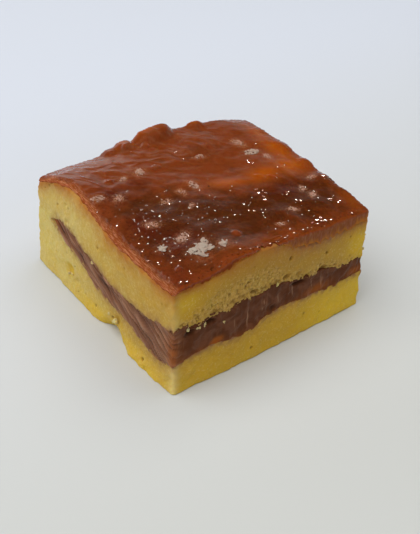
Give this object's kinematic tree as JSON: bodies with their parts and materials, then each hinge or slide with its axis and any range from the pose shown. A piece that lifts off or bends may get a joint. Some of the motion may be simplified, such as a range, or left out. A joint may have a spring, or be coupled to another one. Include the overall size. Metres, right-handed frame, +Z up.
{
  "type": "salted caramel blondie square",
  "caption": "Square slice of dense yellow cake with a caramel filling between its layers and a glossy caramel glaze scattered with salt flakes.",
  "frame": {"origin": "middle of the outline's box, on the underside that the piece stands on", "axes": "+Z up through the layers; the front cut side faces -Y and the left cut side, where the filling pinches out, faces -X"},
  "size_m": [0.0548, 0.0521, 0.0272],
  "materials": {
    "base_cake": "dense moist yellow crumb with a clean knife-cut face, matte to faintly satin",
    "filling_caramel": "soft brown caramel, satin where a knife has dragged it, glossy at the front",
    "upper_cake": "dense yellow crumb, finely pored, crumbly just above the filling",
    "caramel_glaze": "thin translucent set caramel, reddish brown to amber, very glossy and finely rippled",
    "sea_salt": "white half-clear flakes, satin with bright edges"
  },
  "bodies": {
    "root": {"cake_base": "base_cake", "caramel_filling": "filling_caramel", "cake_top": "upper_cake", "caramel_glaze": "caramel_glaze"}
  },
  "joints": []
}
